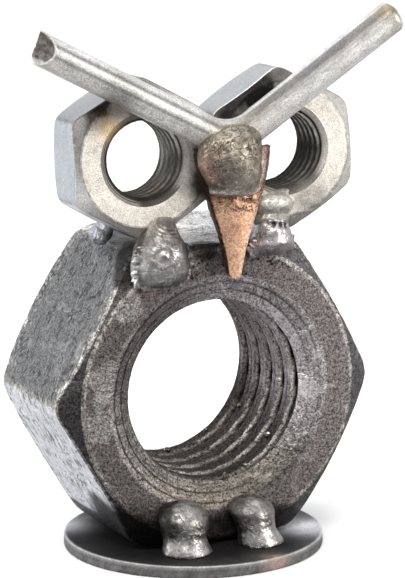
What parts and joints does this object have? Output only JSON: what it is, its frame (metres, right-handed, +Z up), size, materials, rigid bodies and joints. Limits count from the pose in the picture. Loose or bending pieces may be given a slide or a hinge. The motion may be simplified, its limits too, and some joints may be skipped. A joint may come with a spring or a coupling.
{
  "type": "metal owl figure",
  "caption": "Small owl figure on a round plate, welded from threaded hexagon nuts, a bent steel rod for the brow and a strip of copper for the beak.",
  "frame": {"origin": "underside of the round plate, straight below the middle of the big nut's bore", "axes": "+Z up, the owl faces -Y, its left eye as seen from the front is towards -X; the big nut's bore runs along Y"},
  "size_m": [0.0456, 0.031, 0.0647],
  "materials": {
    "body_nut": "dark mill scale, worn",
    "base_plate": "dark, with a bright rim",
    "left_eye_nut": "zinc plated, heat tinted",
    "right_eye_nut": "zinc plated, heat tinted",
    "brow_rod": "drawn bright steel",
    "beak": "bare copper, scorched at the weld",
    "nose_weld": "smooth weld metal, straw and purple tints",
    "left_eye_weld": "smooth weld metal with ripples",
    "right_eye_weld": "smooth weld metal with ripples",
    "back_weld": "weld metal",
    "left_foot_weld": "smooth weld metal, soot round its edge",
    "right_foot_weld": "smooth weld metal, soot round its edge"
  },
  "bodies": {
    "root": {"body_nut": "body_nut", "base_plate": "base_plate", "left_eye_nut": "left_eye_nut", "right_eye_nut": "right_eye_nut", "brow_rod": "brow_rod", "beak": "beak", "nose_weld": "nose_weld", "left_eye_weld": "left_eye_weld", "right_eye_weld": "right_eye_weld", "back_weld": "back_weld", "left_foot_weld": "left_foot_weld", "right_foot_weld": "right_foot_weld"}
  },
  "joints": []
}
